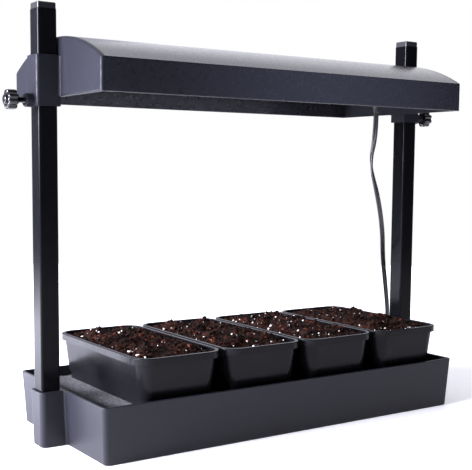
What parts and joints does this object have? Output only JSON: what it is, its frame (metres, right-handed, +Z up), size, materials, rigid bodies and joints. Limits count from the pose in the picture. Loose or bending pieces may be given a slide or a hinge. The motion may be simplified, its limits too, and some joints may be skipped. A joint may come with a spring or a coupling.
{
  "type": "led grow light garden",
  "caption": "Tabletop seed-starting tray with a felt watering mat and filled pots under an arched led lamp hood that slides on end posts and is held by thumbscrews.",
  "frame": {"origin": "middle of the tray's foot, on the table", "axes": "+X along the tray towards the lead's end, +Y to the back, +Z up"},
  "size_m": [0.5678, 0.3109, 0.4392],
  "materials": {
    "tray_plastic": "moulded black ABS, fine satin grain",
    "deck_plastic": "moulded black polypropylene",
    "felt": "needle-punched dark grey felt",
    "post_tube": "black powder-coated aluminium tube",
    "cap_plastic": "moulded black polyethylene",
    "hood_plastic": "moulded black ABS, satin",
    "insert_brass": "turned brass",
    "stud_steel": "black-oxided threaded steel",
    "knob_plastic": "polished black phenolic",
    "reflector_sheet": "bent bright aluminium sheet",
    "clip_steel": "spring steel strip",
    "screw_steel": "zinc-plated steel",
    "lamp_metal": "anodised aluminium extrusion",
    "lens_plastic": "opal polycarbonate extrusion",
    "board_laminate": "white solder mask on laminate",
    "chip_package": "phosphor-filled led packages",
    "driver_laminate": "green laminate",
    "driver_can": "sleeved capacitors and transformer",
    "pin_brass": "plated brass pins",
    "wire_pvc": "PVC hook-up wire",
    "lamp_cap_plastic": "moulded black ABS",
    "rocker_plastic": "moulded black nylon",
    "cord_pvc": "flat two-core PVC lead",
    "tie_strap": "woven hook-and-loop strap",
    "plug_pvc": "overmoulded PVC",
    "pot_plastic": "thin black vacuum-formed polystyrene",
    "potting_mix": "composted bark with perlite"
  },
  "bodies": {
    "base": {"base_tray": "tray_plastic", "mat_deck": "deck_plastic", "capillary_mat": "felt", "left_post": "post_tube", "right_post": "post_tube", "left_post_cap": "cap_plastic", "right_post_cap": "cap_plastic", "cord_drop": "cord_pvc", "cord_coil": "cord_pvc", "cord_tie": "tie_strap", "plug_body": "plug_pvc", "plug_blades": "pin_brass"},
    "hood": {"hood_shell": "hood_plastic", "left_end_cap": "hood_plastic", "right_end_cap": "hood_plastic", "left_insert": "insert_brass", "right_insert": "insert_brass", "reflector": "reflector_sheet", "lamp_clips": "clip_steel", "clip_screws": "screw_steel", "lamp_body": "lamp_metal", "lamp_diffuser": "lens_plastic", "led_board": "board_laminate", "led_chips": "chip_package", "driver_board": "driver_laminate", "driver_parts": "driver_can", "left_lamp_cap": "lamp_cap_plastic", "right_lamp_cap": "lamp_cap_plastic", "inlet_pins": "pin_brass", "lead_wires": "wire_pvc", "cord_connector": "cord_pvc"},
    "left_thumbscrew": {"left_knob": "knob_plastic", "left_stud": "stud_steel"},
    "right_thumbscrew": {"right_knob": "knob_plastic", "right_stud": "stud_steel"},
    "lamp_switch": {"lamp_rocker": "rocker_plastic"},
    "pot_1_filled": {"pot_1": "pot_plastic", "potting_mix_1": "potting_mix"},
    "pot_2_filled": {"pot_2": "pot_plastic", "potting_mix_2": "potting_mix"},
    "pot_3_filled": {"pot_3": "pot_plastic", "potting_mix_3": "potting_mix"},
    "pot_4_filled": {"pot_4": "pot_plastic", "potting_mix_4": "potting_mix"}
  },
  "joints": [
    {"name": "hood_height", "type": "slide", "parent": "base", "child": "hood", "axis": [0, 0, 1], "range_m": [-0.2, 0.043], "deforming": ["cord_drop"]},
    {"name": "left_knob_turn", "type": "hinge", "parent": "hood", "child": "left_thumbscrew", "pos_m": [-0.27, 0, 0.345], "axis": [-1, 0, 0], "range_deg": [0, 360]},
    {"name": "right_knob_turn", "type": "hinge", "parent": "hood", "child": "right_thumbscrew", "pos_m": [0.27, 0, 0.345], "axis": [1, 0, 0], "range_deg": [0, 360]},
    {"name": "lamp_switch_rock", "type": "hinge", "parent": "hood", "child": "lamp_switch", "pos_m": [-0.1794, 0, 0.3795], "axis": [0, 0, 1], "range_deg": [0, 14]},
    {"name": "pot_1_lift", "type": "slide", "parent": "base", "child": "pot_1_filled", "axis": [0, 0, 1], "range_m": [0, 0.07]},
    {"name": "pot_2_lift", "type": "slide", "parent": "base", "child": "pot_2_filled", "axis": [0, 0, 1], "range_m": [0, 0.07]},
    {"name": "pot_3_lift", "type": "slide", "parent": "base", "child": "pot_3_filled", "axis": [0, 0, 1], "range_m": [0, 0.07]},
    {"name": "pot_4_lift", "type": "slide", "parent": "base", "child": "pot_4_filled", "axis": [0, 0, 1], "range_m": [0, 0.07]}
  ]
}
